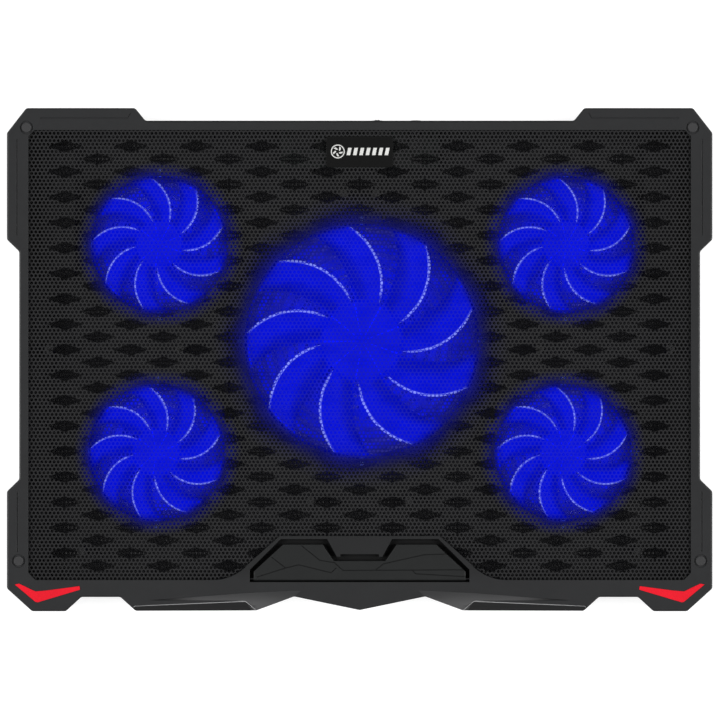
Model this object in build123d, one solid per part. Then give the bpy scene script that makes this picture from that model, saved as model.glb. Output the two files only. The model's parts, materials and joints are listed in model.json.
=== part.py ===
from build123d import *
import os
from math import cos, sin, radians

# Laptop cooling pad: a perforated deck over five lit fans in a two-part plastic case.
# Origin: centre of the footprint, on the surface that the pad stands on.
# +X to the right, +Y towards the back edge (away from the person), +Z up. Millimetres.

# Heights, from the table up
FOOT_HEIGHT = 2.0          # the case's underside stands this far above the table
PLATE = 2.5                # thickness of the case floor
SPLIT_Z = 20.0             # joint between base cover and top frame
SHEET = 0.8                # thickness of the perforated sheet
SHEET_TOP = 26.2           # top of the sheet, which is the underside of the frame's skin
FRAME_TOP = 27.6           # top of the frame's rim
TRIM_PROUD = 0.2           # how far the red inlays stand above the rim
PAD_TOP = 28.0             # top of the corner pads, the pad's full height
FLOOR_Z = FOOT_HEIGHT + PLATE

# Case outline, right half, from the middle of the back edge to the middle of the front edge
HALF_OUTLINE = [
    (0, 135.5), (121.5, 135.5), (127.3, 142.66), (189, 142.66), (200, 128.5), (200, 68.1),
    (193, 61.3), (193, -67.9), (200, -74.7), (200, -129.7), (185.7, -142.66), (166.6, -142.66),
    (157.8, -134.6), (135.7, -134.6), (127, -142.4), (58.5, -142.2), (37.2, -134.3), (0, -142.0),
]
CORNER_ROUND = 2.4         # plan radius of the outline's corners
WALL = 2.4
RIM_ROUND = 1.0            # rounding along the frame's top edge
BASE_INSET = 0.8           # the base cover is set in from the frame all round
BASE_ROUND = 1.5
LIP_INSET = 3.5            # outer face of the base cover's locating lip
LIP_WALL = 1.4
LIP_TOP = SHEET_TOP - SHEET

# Window in the frame, and the island of frame that holds the laptop stop
WINDOW_X = 187.8
WINDOW_BACK = 130.1
WINDOW_FRONT = -124.9
BACK_CHAMFER = 3.4
FRONT_CHAMFER = 4.0
SHEET_MARGIN = 2.0         # the sheet runs this far under the frame
ISLAND_BACK = -99.9
ISLAND_FRONT = -130.0
ISLAND_UNDERSIDE = 22.3

# Badge plate, styling lines, red inlays, and the sunk panel and facet of the front edge
BADGE_Y = 117.85
BADGE = (37.8, 17.3, 0.9)
BADGE_ROUND = 0.8
EAR_LINE = (0.7, 0.4)      # width and depth
STOP_LINE = (0.45, 0.35)
INLAY_DEPTH = 0.8
INLAY_GAP = 0.05
LIP_PANEL_DEPTH = 0.9
LIP_SLOPE = 9.0            # fall of the facet towards the front edge, degrees
LIP_SLOPE_START = -131.0

# Flip-up laptop stop and its pocket
POCKET_FLOOR = 23.9
POCKET_FRONT = -126.1
POCKET_BACK = -101.7
POCKET_X = 62.3
POCKET_SHOULDER = -119.1
POCKET_BACK_X = 44.7
STOP_TOP = 27.4
STOP_THICK = 3.0
STOP_AXIS_Y = -124.3
STOP_AXIS_Z = STOP_TOP - STOP_THICK / 2
STOP_SIDE_GAP = 2.2
STOP_BACK = -104.6
STOP_NOTCH_BACK_X = 21.1
STOP_NOTCH_X = 14.6
STOP_NOTCH_Y = -113.9
TONGUE_GAP = 2.2           # gap between the stop's notch and the frame's tongue
STOP_PIN_R = 0.8
PIN_CLEARANCE = 0.05

# Fans: centre X, centre Y, rotor radius, hub radius
SMALL_R, SMALL_HUB = 37.6, 12.8
FANS = {
    "centre": (1.3, 10.6, 65.3, 22.4),
    "back_left": (-113.9, 65.5, SMALL_R, SMALL_HUB),
    "back_right": (117.4, 65.4, SMALL_R, SMALL_HUB),
    "front_left": (-115.4, -52.9, SMALL_R, SMALL_HUB),
    "front_right": (115.8, -52.9, SMALL_R, SMALL_HUB),
}
BLADES = 9
BLADE_TURN = 24.9          # angle of the first blade's upper edge where it leaves the hub
BLADE_SWEEP = 32.0         # how far that edge curls round between hub and tip
BLADE_CURL = 0.40          # share of that sweep which grows with the square of the reach
BLADE_ARC_HUB = 36.0       # angle that a blade covers at the hub
BLADE_ARC_TIP = 18.0       # and at its tip
BLADE_NARROWING = 0.15     # share of its height that a blade loses between hub and tip
BLADE_CAMBER = 0.10        # bulge of a blade's section, as a share of its chord
BLADE_THICK = 1.1
BLADE_RISE = 8.5           # height of a blade, edge to edge
BLADE_MID_Z = 17.0
HUB_TOP = 23.0
HUB_BOTTOM = 12.0
HUB_WALL = 1.2
RING_GAP = 1.4             # between blade tips and the fan's ring
RING_WALL = 1.8
RING_TOP = 18.5
MOTOR_PLATE_TOP = 6.5
STRUTS = 4
STRUT_WIDTH = 4.0
MAGNET_WALL = 1.6
FAN_EAR_R = 3.4
FAN_EAR_TOP = 12.5
RUNNING_CLEARANCE = 0.03
LED_R = 1.5
LED_LENGTH = 4.4
LED_Z = 14.0
LED_OUT = 2.0              # from the ring's inner face to the middle of a lamp
HUB_ROOF = 1.5             # thickness of the hub's top
HUB_ROUND = 1.2
SHAFT_BOSS = 1.2           # wall of the boss that holds the shaft
SHAFT_COVER = 0.8          # plastic left over the shaft's end
GRILLE_SLOT = 2.8
GRILLE_PITCH = 6.4
GRILLE_BARS = 8
GRILLE_BAR_WIDTH = 3.2

# Fold-out legs under the back corners
LEG_X = 172.0
LEG_WIDTH = 14.0
LEG_THICK = 6.0
LEG_AXIS_Y = 116.0
LEG_AXIS_Z = 5.3
LEG_REACH = 56.0           # from the pin to the free end
LEG_TIP = 9.0              # length of the rubber tip
LEG_TENON = (8.0, 6.0, 2.8)
LEG_PIN_R = 1.5
WELL_SIDE_GAP = 1.0
WELL_BACK = 4.6            # from the pin to the well's back wall
WELL_FRONT = 66.5          # from the pin to the front of the finger notch
WELL_TOP = 8.9
WELL_WALL = 1.6

# Screws
CASE_SCREWS = [(194, 100), (194, -100), (158, 137), (175, -134), (90, -134.5), (15, -132.5)]
POST_R = 3.2
POST_BOTTOM = 10.0
PILOT_R = 1.3
SCREW_CLEAR_R = 1.7
SCREW_HEAD_R = 2.8
SCREW_HEAD = 1.8
CASE_SEAT_Z = 7.0
FAN_SEAT_Z = 3.6
FAN_PILOT_R = 1.1

# Supports under the sheet, and round feet
PILLARS = [(9.3, 94), (27.8, -80), (102.1, 6), (176.3, 6), (157.8, -109)]
PILLAR_R = 2.5
FEET = [(146, 128), (176, -118)]
FOOT_R = 7.0
FOOT_SINK = 0.8
FOOT_ROUND = 0.8

# Corner pads in the frame
CORNER_PADS = [(188.8, 131.6), (193.3, -114.1)]
PAD_R = 2.8
PAD_RECESS_R = 3.8
PAD_RECESS = 0.6
PAD_STEM_R = 1.2

# Flat leads from the fans
LEAD_WIDTH = 2.4
LEAD_HEIGHT = 1.1

# Control board and what it carries, along the back wall
BOARD = (90.0, 22.0, 1.6)
BOARD_Y = 120.0
BOARD_Z = 9.0
BOARD_TOP = BOARD_Z + BOARD[2]
STAKE_R = 1.2
BOARD_STAKES = [(41, BOARD_Y - 8), (41, BOARD_Y + 8)]
BACK_WALL_OUT = 135.5 - BASE_INSET
BACK_WALL_IN = BACK_WALL_OUT - WALL
USB_X = (-32.0, -13.0)
USB_WIDTH, USB_HEIGHT, USB_LENGTH = 13.1, 5.7, 14.0
USB_SHEET = 0.4
USB_TONGUE = (11.1, 1.84, 8.4)
CONTROL_Z = 15.0           # height of the wheel's and the button's middle
WHEEL_X = 10.0
WHEEL_R = 8.0
WHEEL_Y = 128.6
WHEEL_THICK = 3.0
WHEEL_NOTCHES = 28
SPINDLE_R = 1.5
BUTTON_X = 32.0
BUTTON_R = 3.2
BUTTON_OUT = 136.2
BUTTON_IN = 127.9
BUTTON_FLANGE = 128.8
MOVING_GAP = 0.3


def disc(x, y, radius, z_low, z_high):
    """Upright cylinder between two heights."""
    return Pos(x, y, (z_low + z_high) / 2) * Cylinder(radius, z_high - z_low)


def block(x, y, width, depth, z_low, z_high):
    """Upright box, centred on x and y, between two heights."""
    return Pos(x, y, (z_low + z_high) / 2) * Box(width, depth, z_high - z_low)


def slab(sketch, z_low, z_high):
    """A plan shape as a solid between two heights."""
    return extrude(Pos(0, 0, z_low) * sketch, z_high - z_low, dir=(0, 0, 1))


def rod_x(x_low, x_high, y, z, radius):
    """Cylinder along X."""
    return Pos((x_low + x_high) / 2, y, z) * (Rot(0, 90, 0) * Cylinder(radius, x_high - x_low))


def rod_y(x, y_low, y_high, z, radius):
    """Cylinder along Y."""
    return Pos(x, (y_low + y_high) / 2, z) * (Rot(90, 0, 0) * Cylinder(radius, y_high - y_low))


def polar(radius, degrees):
    return radius * cos(radians(degrees)), radius * sin(radians(degrees))


def both_sides(points):
    """Each place and its mirror image across the YZ plane."""
    return [(side * x, y) for x, y in points for side in (-1, 1)]


def mirrored_polygon(half):
    """Closed outline from its right half."""
    left = [(-x, y) for x, y in reversed(half) if x > 0]
    return Polygon(*half, *left, align=None)


def outline(inset=0.0, rounding=CORNER_ROUND):
    shape = mirrored_polygon(HALF_OUTLINE)
    if inset:
        shape = offset(shape, -inset, kind=Kind.INTERSECTION)
    return fillet(shape.vertices(), rounding)


def window(margin=0.0):
    """The window's plan shape, with the corners cut off."""
    side, back, front = WINDOW_X + margin, WINDOW_BACK + margin, WINDOW_FRONT - margin
    return mirrored_polygon([
        (side - BACK_CHAMFER, back), (side, back - BACK_CHAMFER),
        (side, front + FRONT_CHAMFER), (side - FRONT_CHAMFER, front),
    ])


def island():
    """The part of the frame that reaches back round the laptop stop."""
    start, middle, end = (81.9, WINDOW_FRONT), (70.0, -121.5), (62.7, -115.5)
    right = [
        ThreePointArc(start, middle, end),
        Line(end, (45.3, ISLAND_BACK)),
    ]
    left = [mirror(edge, about=Plane.YZ) for edge in right]
    edges = right + left + [
        Line((45.3, ISLAND_BACK), (-45.3, ISLAND_BACK)),
        Polyline(start, (81.9, ISLAND_FRONT), (-81.9, ISLAND_FRONT), (-81.9, WINDOW_FRONT)),
    ]
    return make_face(edges)


def pocket_plan():
    """The stop's pocket: a trapezium round the tongue that fills the stop's notch."""
    shape = mirrored_polygon([
        (POCKET_BACK_X, POCKET_BACK), (POCKET_X, POCKET_SHOULDER), (POCKET_X, POCKET_FRONT),
    ])
    tongue = mirrored_polygon([
        (STOP_NOTCH_BACK_X - TONGUE_GAP, POCKET_BACK + 1),
        (STOP_NOTCH_X - TONGUE_GAP + 0.5, STOP_NOTCH_Y + TONGUE_GAP),
    ])
    return shape - tongue


def stop_plan():
    """The stop seen from above, hinge edge to the front."""
    side = POCKET_X - STOP_SIDE_GAP
    shape = mirrored_polygon([
        (POCKET_BACK_X - 1.4, STOP_BACK), (side, POCKET_SHOULDER - 0.9), (side, STOP_AXIS_Y),
    ])
    notch = mirrored_polygon([
        (STOP_NOTCH_BACK_X + 0.6, STOP_BACK + 1), (STOP_NOTCH_X, STOP_NOTCH_Y),
    ])
    return shape - notch


def groove(points, width, depth, top):
    """A fine straight-sided line cut down from the given height."""
    return slab(trace(Polyline(*points), width), top - depth, top + 1)


def trim_plan():
    """Bent arrow-shaped inlay of the left front corner."""
    return Polygon(
        (-195.6, -127.4), (-193.0, -126.9), (-183.8, -131.3), (-177.7, -130.8), (-158.7, -128.3),
        (-158.4, -130.4), (-182.5, -137.6), (-183.8, -137.3), align=None)


def left_and_right(shape):
    return [shape, mirror(shape, about=Plane.YZ)]


def lip_cuts():
    """Sunk panel and sloping facet beside the nose of the front edge, left side."""
    panel = Polygon((-130, -139.6), (-127.8, -139.5), (-64.9, -136.8), (-56, -143.5),
                    (-56, -146), (-130, -146), align=None)
    facet = Polygon((-119, -136.4), (-64.4, -132.2), (-33.2, -130.8), (-37.2, -134.6),
                    (-59, -145), (-64.9, -136.8), align=None)
    slope = Pos(-60, LIP_SLOPE_START, FRAME_TOP) * Rot(LIP_SLOPE, 0, 0) * Box(
        160, 60, 20, align=(Align.CENTER, Align.CENTER, Align.MIN))
    sunk = slab(panel, FRAME_TOP - LIP_PANEL_DEPTH, FRAME_TOP + 1)
    return sunk + (slab(facet, POCKET_FLOOR, FRAME_TOP + 1) & slope)


def ear_grooves():
    """Fine lines along the four raised corners, right side."""
    back = [(181.2, 136.9), (131.5, 136.9), (129.8, 139.8)]
    cuts = [groove(back, *EAR_LINE, FRAME_TOP)]
    cuts.append(groove([(194.2, 125.0), (194.2, 70.6)], *EAR_LINE, FRAME_TOP))
    cuts.append(groove([(194.0, -75.0), (194.0, -109.0)], *EAR_LINE, FRAME_TOP))
    return Part() + cuts


def make_top_frame():
    body = slab(outline(), SPLIT_Z, FRAME_TOP)
    rim = body.faces().sort_by(Axis.Z)[-1].edges()
    body = fillet(rim, RIM_ROUND)
    body -= slab(outline(WALL, CORNER_ROUND / 2), SPLIT_Z, SHEET_TOP)
    body -= slab(window() - island(), SHEET_TOP - 1, FRAME_TOP + 1)
    body += slab(island(), ISLAND_UNDERSIDE, SHEET_TOP)
    body -= slab(pocket_plan(), POCKET_FLOOR, FRAME_TOP + 1)
    body -= block(0, STOP_NOTCH_Y + TONGUE_GAP, 22, 2.8, POCKET_FLOOR, FRAME_TOP + 1)
    for side in (-1, 1):
        body -= rod_x(*sorted((side * POCKET_X, side * (POCKET_X + 4))), STOP_AXIS_Y, STOP_AXIS_Z,
                      STOP_PIN_R)
    inlay = slab(trim_plan(), FRAME_TOP - INLAY_DEPTH, FRAME_TOP + 1)
    cuts = left_and_right(lip_cuts()) + left_and_right(ear_grooves()) + left_and_right(inlay)
    for x, y in both_sides(CORNER_PADS):
        cuts.append(disc(x, y, PAD_RECESS_R, FRAME_TOP - PAD_RECESS, FRAME_TOP + 1))
        cuts.append(disc(x, y, PAD_STEM_R, SHEET_TOP - 1, FRAME_TOP))
    posts = [disc(x, y, POST_R, POST_BOTTOM, SHEET_TOP) for x, y in both_sides(CASE_SCREWS)]
    pilots = [disc(x, y, PILOT_R, POST_BOTTOM, CASE_SEAT_Z + 11) for x, y in both_sides(CASE_SCREWS)]
    return body + posts - cuts - pilots


def make_sheet():
    return slab(window(SHEET_MARGIN) - offset(island(), 0.2, kind=Kind.INTERSECTION),
                SHEET_TOP - SHEET, SHEET_TOP)


def make_badge():
    width, depth, thick = BADGE
    plate = block(0, BADGE_Y, width, depth, SHEET_TOP, SHEET_TOP + thick)
    return fillet(plate.edges().filter_by(Axis.Z), BADGE_ROUND)


def make_corner_pads():
    pads = []
    for x, y in both_sides(CORNER_PADS):
        pad = disc(x, y, PAD_R, FRAME_TOP - PAD_RECESS, PAD_TOP)
        pad = fillet(pad.faces().sort_by(Axis.Z)[-1].edges(), 0.4)
        pads.append(pad + disc(x, y, PAD_STEM_R, SHEET_TOP - 0.8, FRAME_TOP - PAD_RECESS))
    return pads


def stop_lines():
    """Fine styling lines in the stop's upper face."""
    runs = [
        [(-49.9, -112.0), (-41.9, -118.1)],
        [(-58.4, -123.3), (-41.9, -118.1), (-34.5, -116.3), (-16.1, -120.8), (-13.3, -118.1)],
        [(-33.0, -105.4), (-22.7, -113.7), (-14.2, -115.1), (-9.5, -119.5), (59.5, -119.1)],
        [(9.2, -119.1), (13.5, -115.7), (36.5, -110.6), (51.6, -110.1)],
        [(29.5, -119.1), (31.8, -121.4), (59.5, -123.0)],
    ]
    return [groove(run, *STOP_LINE, STOP_TOP) for run in runs]


def make_stop():
    """Laptop stop: a hollowed flap with its hinge barrel along the front edge."""
    bottom = STOP_TOP - STOP_THICK
    body = slab(stop_plan(), bottom, STOP_TOP)
    upper = body.faces().sort_by(Axis.Z)[-1].edges().filter_by(lambda e: e.center().Y > STOP_AXIS_Y + 1)
    body = fillet(upper, 0.5)
    half = POCKET_X - STOP_SIDE_GAP
    body += rod_x(-half, half, STOP_AXIS_Y, STOP_AXIS_Z, STOP_THICK / 2)
    for x, width in ((-40, 26), (-22.5, 5), (0, 22), (22.5, 5), (40, 26)):
        body -= block(x, -118.4, width, 6.4, bottom - 1, bottom + 1.6)
    for side in (-1, 1):
        span = sorted((side * (half - 7), side * (half + 1)))
        body -= rod_x(*span, STOP_AXIS_Y, STOP_AXIS_Z, STOP_PIN_R + PIN_CLEARANCE)
    for line in stop_lines():
        body -= line
    return body


def make_stop_pin(side):
    inner, outer = POCKET_X - STOP_SIDE_GAP - 6.5, POCKET_X + 4
    return rod_x(*sorted((side * inner, side * outer)), STOP_AXIS_Y, STOP_AXIS_Z, STOP_PIN_R)


def ring_sizes(fan):
    """Inner and outer radius of a fan's ring."""
    return fan[2] + RING_GAP, fan[2] + RING_GAP + RING_WALL


def ear_places(fan):
    """Centres of a fan's four screw ears."""
    reach = ring_sizes(fan)[1] + 2.2
    offsets = [polar(reach, 45 + 90 * turn) for turn in range(4)]
    return [(fan[0] + dx, fan[1] + dy) for dx, dy in offsets]


def grille(fan):
    """Ring-shaped intake slots under a fan, broken by bars."""
    x, y, rotor_r, hub_r = fan
    rings = Sketch()
    radius = hub_r + GRILLE_SLOT
    while radius + GRILLE_SLOT / 2 < rotor_r:
        rings += Circle(radius + GRILLE_SLOT / 2) - Circle(radius - GRILLE_SLOT / 2)
        radius += GRILLE_PITCH
    for turn in range(GRILLE_BARS // 2):
        rings -= Rot(0, 0, 180 * turn / (GRILLE_BARS // 2)) * Rectangle(3 * rotor_r, GRILLE_BAR_WIDTH)
    return Pos(x, y) * rings


def well_box(side, grow, z_low, z_high):
    """The leg's well, or with grow its walls."""
    y_low, y_high = LEG_AXIS_Y - WELL_FRONT - grow, LEG_AXIS_Y + WELL_BACK + grow
    width = LEG_WIDTH + 2 * WELL_SIDE_GAP + 2 * grow
    return block(side * LEG_X, (y_low + y_high) / 2, width, y_high - y_low, z_low, z_high)


def add_case_details(body):
    """Screw bosses, pillars, board stakes and leg wells on the base cover."""
    added, cuts = [], []
    for x, y in both_sides(CASE_SCREWS):
        added.append(disc(x, y, POST_R + 0.8, FLOOR_Z, POST_BOTTOM))
        cuts.append(disc(x, y, SCREW_CLEAR_R, FOOT_HEIGHT - 1, POST_BOTTOM + 1))
        cuts.append(disc(x, y, SCREW_HEAD_R + 0.4, FOOT_HEIGHT - 1, CASE_SEAT_Z))
    for x, y in both_sides(PILLARS):
        added.append(disc(x, y, PILLAR_R, FLOOR_Z, SHEET_TOP - SHEET))
    for x, y in both_sides(BOARD_STAKES):
        added.append(disc(x, y, STAKE_R + 1.4, FLOOR_Z, BOARD_Z))
        added.append(disc(x, y, STAKE_R, BOARD_Z, BOARD_TOP + 1))
    for side in (-1, 1):
        added.append(well_box(side, WELL_WALL, FLOOR_Z - 1, WELL_TOP + WELL_WALL))
        cuts.append(well_box(side, 0, FOOT_HEIGHT - 1, WELL_TOP))
        cuts.append(make_leg_pin(side))
    return body + added - cuts


def make_base():
    body = slab(outline(BASE_INSET), FOOT_HEIGHT, SPLIT_Z)
    under = body.faces().sort_by(Axis.Z)[0].edges()
    body = fillet(under, BASE_ROUND)
    body -= slab(outline(BASE_INSET + WALL, CORNER_ROUND / 2), FLOOR_Z, SPLIT_Z)
    lip = outline(LIP_INSET, 0.8) - outline(LIP_INSET + LIP_WALL, 0.8)
    hold = outline(BASE_INSET + 1, CORNER_ROUND / 2) - outline(LIP_INSET + LIP_WALL, 0.8)
    body += slab(hold, SPLIT_Z - 4, SPLIT_Z)
    lip = slab(lip, SPLIT_Z, LIP_TOP) - slab(offset(island(), 1.0), SPLIT_Z - 1, LIP_TOP + 1)
    cuts = [disc(x, y, POST_R + MOVING_GAP, POST_BOTTOM, LIP_TOP + 1) for x, y in both_sides(CASE_SCREWS)]
    cuts += [disc(x, y, PAD_STEM_R + 1, SHEET_TOP - 2, SHEET_TOP) for x, y in both_sides(CORNER_PADS)]
    cuts += [disc(x, y, FOOT_R, FOOT_HEIGHT - 1, FOOT_HEIGHT + FOOT_SINK) for x, y in both_sides(FEET)]
    for fan in FANS.values():
        cuts.append(slab(grille(fan), FOOT_HEIGHT - 1, FLOOR_Z + 1))
        for x, y in ear_places(fan):
            cuts.append(disc(x, y, FAN_PILOT_R + 0.3, FOOT_HEIGHT - 1, FLOOR_Z + 1))
            cuts.append(disc(x, y, SCREW_HEAD_R, FOOT_HEIGHT - 1, FAN_SEAT_Z))
    return add_case_details(body + lip - cuts - back_wall_cuts())


def back_wall_cuts():
    """Openings in the back wall for the sockets, the wheel and the button."""
    middle = (BACK_WALL_IN + BACK_WALL_OUT) / 2
    depth = LIP_INSET + LIP_WALL + 4
    usb_z = BOARD_TOP + USB_HEIGHT / 2
    cuts = [Pos(x, middle, usb_z) * Box(USB_WIDTH + 0.6, depth, USB_HEIGHT + 0.6) for x in USB_X]
    half_slot = WHEEL_THICK / 2 + 0.4
    cuts.append(disc(WHEEL_X, WHEEL_Y, WHEEL_R + 0.5, CONTROL_Z - half_slot, CONTROL_Z + half_slot))
    hole_r = BUTTON_R + MOVING_GAP
    cuts.append(rod_y(BUTTON_X, middle - depth / 2, middle + depth / 2, CONTROL_Z, hole_r))
    return cuts


def make_screw(x, y, seat_z, shank_r, length):
    """Cross-head screw, head down, with the head's flat face at seat_z."""
    head = disc(x, y, SCREW_HEAD_R - 0.2, seat_z - min(SCREW_HEAD, seat_z - FOOT_HEIGHT - 0.1), seat_z)
    bottom = head.bounding_box().min.Z
    head = fillet(head.faces().sort_by(Axis.Z)[0].edges(), 0.5)
    for wide, deep in ((2.8, 0.7), (0.7, 2.8)):
        head -= block(x, y, wide, deep, bottom - 1, bottom + 0.9)
    return head + disc(x, y, shank_r, seat_z, seat_z + length)


def make_foot(x, y):
    foot = disc(x, y, FOOT_R, 0, FOOT_HEIGHT + FOOT_SINK)
    return fillet(foot.faces().sort_by(Axis.Z)[0].edges(), FOOT_ROUND)


def leg_plan(y_low, y_high, width):
    return Pos(0, (y_low + y_high) / 2) * RectangleRounded(width, y_high - y_low, 1.2)


def leg_tenon(x, shoulder):
    """Tongue on a leg's free end that the rubber tip is pushed over."""
    width, length, thick = LEG_TENON
    half = thick / 2
    return block(x, shoulder - length / 2, width, length, LEG_AXIS_Z - half, LEG_AXIS_Z + half)


def make_leg(side):
    """Flip-out leg, folded flat: barrel at the pin, shallow panel under it, tenon at the free end."""
    x = side * LEG_X
    free = LEG_AXIS_Y - LEG_REACH
    shoulder = free + LEG_TIP
    low, high = LEG_AXIS_Z - LEG_THICK / 2, LEG_AXIS_Z + LEG_THICK / 2
    body = block(x, (shoulder + LEG_AXIS_Y) / 2, LEG_WIDTH, LEG_AXIS_Y - shoulder, low, high)
    body = fillet(body.edges().filter_by(Axis.Y), 0.8)
    body += rod_x(x - LEG_WIDTH / 2, x + LEG_WIDTH / 2, LEG_AXIS_Y, LEG_AXIS_Z, LEG_THICK / 2)
    recess = Pos(x, 0) * leg_plan(shoulder + 4, LEG_AXIS_Y - 7, LEG_WIDTH - 5)
    body -= slab(recess, low - 1, low + 1.2)
    for step in range(5):
        body += block(x, shoulder + 9 + 7.2 * step, LEG_WIDTH - 5, 1.4, low + 0.3, low + 1.2)
    body += leg_tenon(x, shoulder)
    return body - rod_x(x - LEG_WIDTH, x + LEG_WIDTH, LEG_AXIS_Y, LEG_AXIS_Z,
                        LEG_PIN_R + PIN_CLEARANCE)


def make_leg_tip(side):
    """Rubber cap pushed over the leg's tenon."""
    x = side * LEG_X
    free = LEG_AXIS_Y - LEG_REACH
    low, high = LEG_AXIS_Z - LEG_THICK / 2, LEG_AXIS_Z + LEG_THICK / 2
    tip = block(x, free + LEG_TIP / 2, LEG_WIDTH, LEG_TIP, low, high)
    tip = fillet(tip.faces().sort_by(Axis.Y)[0].edges(), 1.4)
    return tip - leg_tenon(x, free + LEG_TIP)


def make_leg_pin(side):
    reach = LEG_WIDTH / 2 + WELL_SIDE_GAP + WELL_WALL
    return rod_x(side * LEG_X - reach, side * LEG_X + reach, LEG_AXIS_Y, LEG_AXIS_Z, LEG_PIN_R)


def motor_sizes(fan):
    """Radii inside the hub: magnet outside and inside, bearing tube outside and inside, shaft."""
    magnet_out = fan[3] - HUB_WALL
    magnet_in = magnet_out - MAGNET_WALL
    big = fan[3] > 20
    return magnet_out, magnet_in, 5.0 if big else 4.0, 3.2 if big else 2.6, 1.5 if big else 1.0


def make_fan_frame(fan):
    """Ring, motor plate with bearing tube, struts between them, and four screw ears."""
    x, y, _, hub_r = fan
    ring_in, ring_out = ring_sizes(fan)
    _, _, tube_out, tube_in, _ = motor_sizes(fan)
    body = disc(x, y, ring_out, FLOOR_Z, RING_TOP) - disc(x, y, ring_in, FLOOR_Z, RING_TOP)
    for turn in range(STRUTS // 2):
        strut = Pos(x, y, (FLOOR_Z + MOTOR_PLATE_TOP) / 2) * Rot(0, 0, 45 + 90 * turn) * Box(
            2 * ring_in + 1, STRUT_WIDTH, MOTOR_PLATE_TOP - FLOOR_Z)
        body += strut
    body += disc(x, y, hub_r, FLOOR_Z, MOTOR_PLATE_TOP)
    body += disc(x, y, tube_out, MOTOR_PLATE_TOP, HUB_TOP - 3.5)
    for ear_x, ear_y in ear_places(fan):
        ear = disc(ear_x, ear_y, FAN_EAR_R, FLOOR_Z, FAN_EAR_TOP)
        body += ear - disc(x, y, ring_in, FLOOR_Z - 1, RING_TOP)
        body -= disc(ear_x, ear_y, FAN_PILOT_R, FLOOR_Z - 1, FAN_EAR_TOP - 1.5)
    body -= disc(x, y, tube_in, MOTOR_PLATE_TOP, HUB_TOP)
    for place_x, place_y, turn in led_places(fan):
        body -= led_shape(place_x, place_y, turn)
    return body


def led_places(fan):
    """Where the four lamps sit in a fan's ring, and which way each one faces."""
    ring_in, _ = ring_sizes(fan)
    turns = [0, 90, 180, 270]
    spots = [polar(ring_in + LED_OUT, turn) for turn in turns]
    return [(fan[0] + dx, fan[1] + dy, turn) for (dx, dy), turn in zip(spots, turns)]


def led_shape(x, y, turn):
    """Round-nosed lamp lying along the radius, its nose just inside the ring."""
    lamp = Rot(0, 90, 0) * Cylinder(LED_R, LED_LENGTH)
    return Pos(x, y, LED_Z) * Rot(0, 0, turn) * lamp


def blade_section(fan, radius):
    """Cross-section of a blade, square to the radius at that distance from the axis."""
    share = (radius - fan[3]) / (fan[2] - fan[3])
    lead = BLADE_TURN + BLADE_SWEEP * share * (1 - BLADE_CURL + BLADE_CURL * share)
    arc = BLADE_ARC_HUB + (BLADE_ARC_TIP - BLADE_ARC_HUB) * share
    middle = lead + arc / 2
    chord = 2 * radius * sin(radians(arc / 2))
    rise = BLADE_RISE * (1 - BLADE_NARROWING * share)
    camber = BLADE_CAMBER * chord
    high, low = (-chord / 2, rise / 2), (chord / 2, -rise / 2)
    under_high, under_low = (high[0], high[1] - BLADE_THICK), (low[0], low[1] - BLADE_THICK)
    upper = ThreePointArc(high, (0, camber), low)
    lower = ThreePointArc(under_low, (0, camber - BLADE_THICK), under_high)
    face = make_face([upper, Line(low, under_low), lower, Line(under_high, high)])
    out_x, out_y = polar(1, middle)
    plane = Plane(origin=(radius * out_x, radius * out_y, BLADE_MID_Z),
                  x_dir=(-out_y, out_x, 0), z_dir=(out_x, out_y, 0))
    return plane * face


def make_rotor(fan):
    """Hub cup with nine swept blades."""
    x, y, rotor_r, hub_r = fan
    magnet_out, _, _, _, shaft_r = motor_sizes(fan)
    inner, outer = hub_r - 0.7, rotor_r + 0.8
    radii = [inner + (outer - inner) * step / 4 for step in range(5)]
    blade = loft([blade_section(fan, radius) for radius in radii])
    blade &= Cylinder(rotor_r, 80)
    hub = disc(0, 0, hub_r, HUB_BOTTOM, HUB_TOP)
    hub = fillet(hub.faces().sort_by(Axis.Z)[-1].edges(), HUB_ROUND)
    body = hub + [Rot(0, 0, 360 / BLADES * turn) * blade for turn in range(BLADES)]
    under_roof = HUB_TOP - HUB_ROOF
    body -= disc(0, 0, magnet_out, HUB_BOTTOM - 10, under_roof)
    body += disc(0, 0, shaft_r + SHAFT_BOSS, under_roof - 1.7, under_roof)
    body -= disc(0, 0, shaft_r, HUB_TOP - 4, HUB_TOP - SHAFT_COVER)
    return Pos(x, y) * body


def make_magnet(fan):
    magnet_out, magnet_in, _, _, _ = motor_sizes(fan)
    ring = disc(fan[0], fan[1], magnet_out, HUB_BOTTOM, HUB_TOP - 2)
    return ring - disc(fan[0], fan[1], magnet_in, HUB_BOTTOM, HUB_TOP - 2)


def make_shaft(fan):
    shaft_r = motor_sizes(fan)[4]
    shaft = disc(fan[0], fan[1], shaft_r, MOTOR_PLATE_TOP + 0.5, HUB_TOP - SHAFT_COVER)
    return chamfer(shaft.faces().sort_by(Axis.Z)[0].edges(), 0.2)


def make_bearing(fan):
    _, _, _, tube_in, shaft_r = motor_sizes(fan)
    sleeve = disc(fan[0], fan[1], tube_in, MOTOR_PLATE_TOP + 1, HUB_TOP - 4)
    return sleeve - disc(fan[0], fan[1], shaft_r + RUNNING_CLEARANCE, 0, HUB_TOP)


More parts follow.
